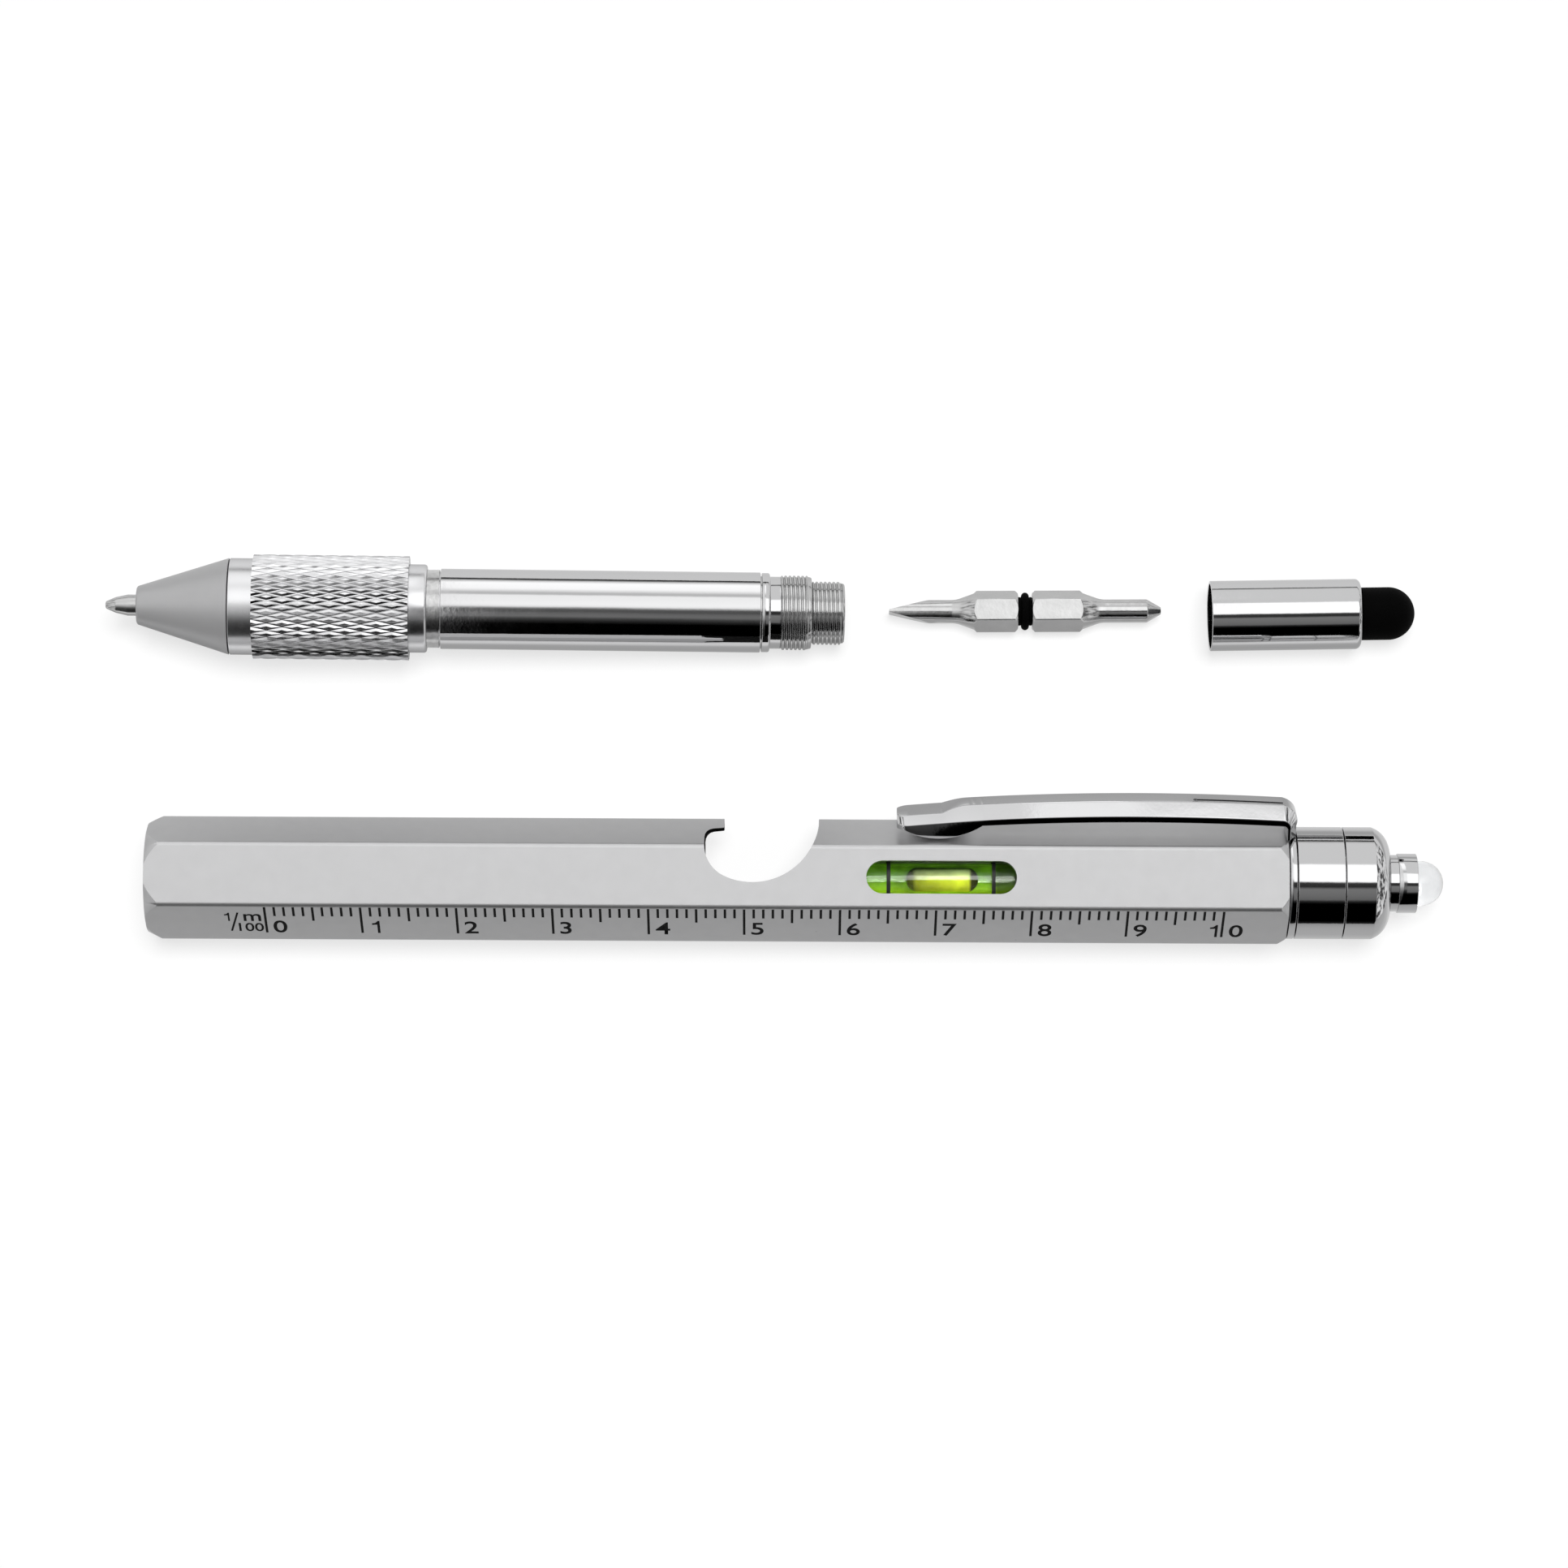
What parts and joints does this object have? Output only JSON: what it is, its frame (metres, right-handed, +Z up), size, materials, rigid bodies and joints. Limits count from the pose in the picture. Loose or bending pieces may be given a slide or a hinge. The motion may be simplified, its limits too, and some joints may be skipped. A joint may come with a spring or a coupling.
{
  "type": "multi tool pen",
  "caption": "Multi tool pen taken apart: hexagonal barrel with ruler, vial, bottle opener, clip and torch, beside its knurled pen unit, driver bit and stylus cap.",
  "frame": {"origin": "centre of the bounding box on the surface that all four loose groups lie on", "axes": "+X along the barrel from its open front end to the torch, +Y across the surface towards the pen unit, +Z up"},
  "size_m": [0.141, 0.0406, 0.012],
  "materials": {
    "barrel_silver": "fine matte silver coat",
    "cone_grey": "matte grey coat",
    "chrome": "polished",
    "grip_aluminium": "bright turned",
    "steel": "nickel plated",
    "brass": "plain",
    "rubber": "matte",
    "black_plastic": "matte",
    "white_plastic": "matte",
    "clear_acrylic": "clear",
    "green_liquid": "clear green",
    "bubble_air": "clear",
    "clear_led": "clear"
  },
  "bodies": {
    "barrel_group": {"barrel": "barrel_silver", "thread_sleeve": "steel", "vial_carrier": "white_plastic", "vial_tube": "clear_acrylic", "vial_plug": "clear_acrylic", "vial_liquid": "green_liquid", "vial_ring_front": "black_plastic", "vial_ring_rear": "black_plastic", "clip_ring": "chrome", "torch_housing": "chrome", "battery_spring": "steel"},
    "bubble": {"vial_bubble": "bubble_air"},
    "clip": {"clip_arm": "chrome"},
    "cell_stack": {"button_cell_1": "steel", "button_cell_2": "steel", "button_cell_3": "steel"},
    "torch_end": {"torch_cap": "chrome", "contact_disc": "brass", "button_spring": "steel"},
    "push_light": {"torch_button": "chrome", "led_light": "clear_led"},
    "pen_unit": {"knurled_grip": "grip_aluminium", "body_tube": "chrome", "bit_socket_tail": "steel", "refill_seat": "black_plastic"},
    "refill": {"refill_tip": "steel", "refill_tube": "white_plastic"},
    "cone": {"nose_cone": "cone_grey"},
    "bit": {"driver_bit": "steel", "bit_ring": "rubber"},
    "stylus_cap": {"stylus_sleeve": "chrome", "stylus_tip": "rubber", "stylus_core": "steel"}
  },
  "joints": [
    {"name": "bubble_run", "type": "slide", "parent": "barrel_group", "child": "bubble", "axis": [1, 0, 0], "range_m": [-0.004, 0.0038]},
    {"name": "clip_flex", "type": "hinge", "parent": "barrel_group", "child": "clip", "pos_m": [0.05417, -0.00867, 0.00891], "axis": [0, 0.5, -0.866], "range_deg": [0, 4], "stiffness_Nm_per_rad": 1},
    {"name": "cell_follow", "type": "slide", "parent": "barrel_group", "child": "cell_stack", "axis": [1, 0, 0], "range_m": [0, 0.0035], "deforming": ["battery_spring"]},
    {"name": "torch_cap_turn", "type": "hinge", "parent": "cell_stack", "child": "torch_end", "pos_m": [0.05983, -0.01388, 0.0059], "axis": [1, 0, 0], "range_deg": [0, 2520.5]},
    {"name": "light_press", "type": "slide", "parent": "torch_end", "child": "push_light", "axis": [-1, 0, 0], "range_m": [0, 0.0008], "stiffness_N_per_m": 500, "deforming": ["button_spring"]},
    {"name": "pen_unit_lift", "type": "slide", "parent": "barrel_group", "child": "pen_unit", "axis": [0, 0, 1], "range_m": [0, 0.03]},
    {"name": "refill_follow", "type": "slide", "parent": "pen_unit", "child": "refill", "axis": [-0.9994, 0.0026, 0.0343], "range_m": [0, 0.004]},
    {"name": "nose_cone_turn", "type": "hinge", "parent": "refill", "child": "cone", "pos_m": [-0.07053, 0.01485, 0.00662], "axis": [-0.9994, 0.0026, 0.0343], "range_deg": [0, 2880.5]},
    {"name": "bit_lift", "type": "slide", "parent": "barrel_group", "child": "bit", "axis": [0, 0, 1], "range_m": [0, 0.03]},
    {"name": "stylus_cap_lift", "type": "slide", "parent": "barrel_group", "child": "stylus_cap", "axis": [0, 0, 1], "range_m": [0, 0.03]}
  ],
  "couplings": [
    {"joint": "torch_cap_turn", "follows": "cell_follow", "rad_per_m": 12566},
    {"joint": "nose_cone_turn", "follows": "refill_follow", "rad_per_m": 12566}
  ]
}
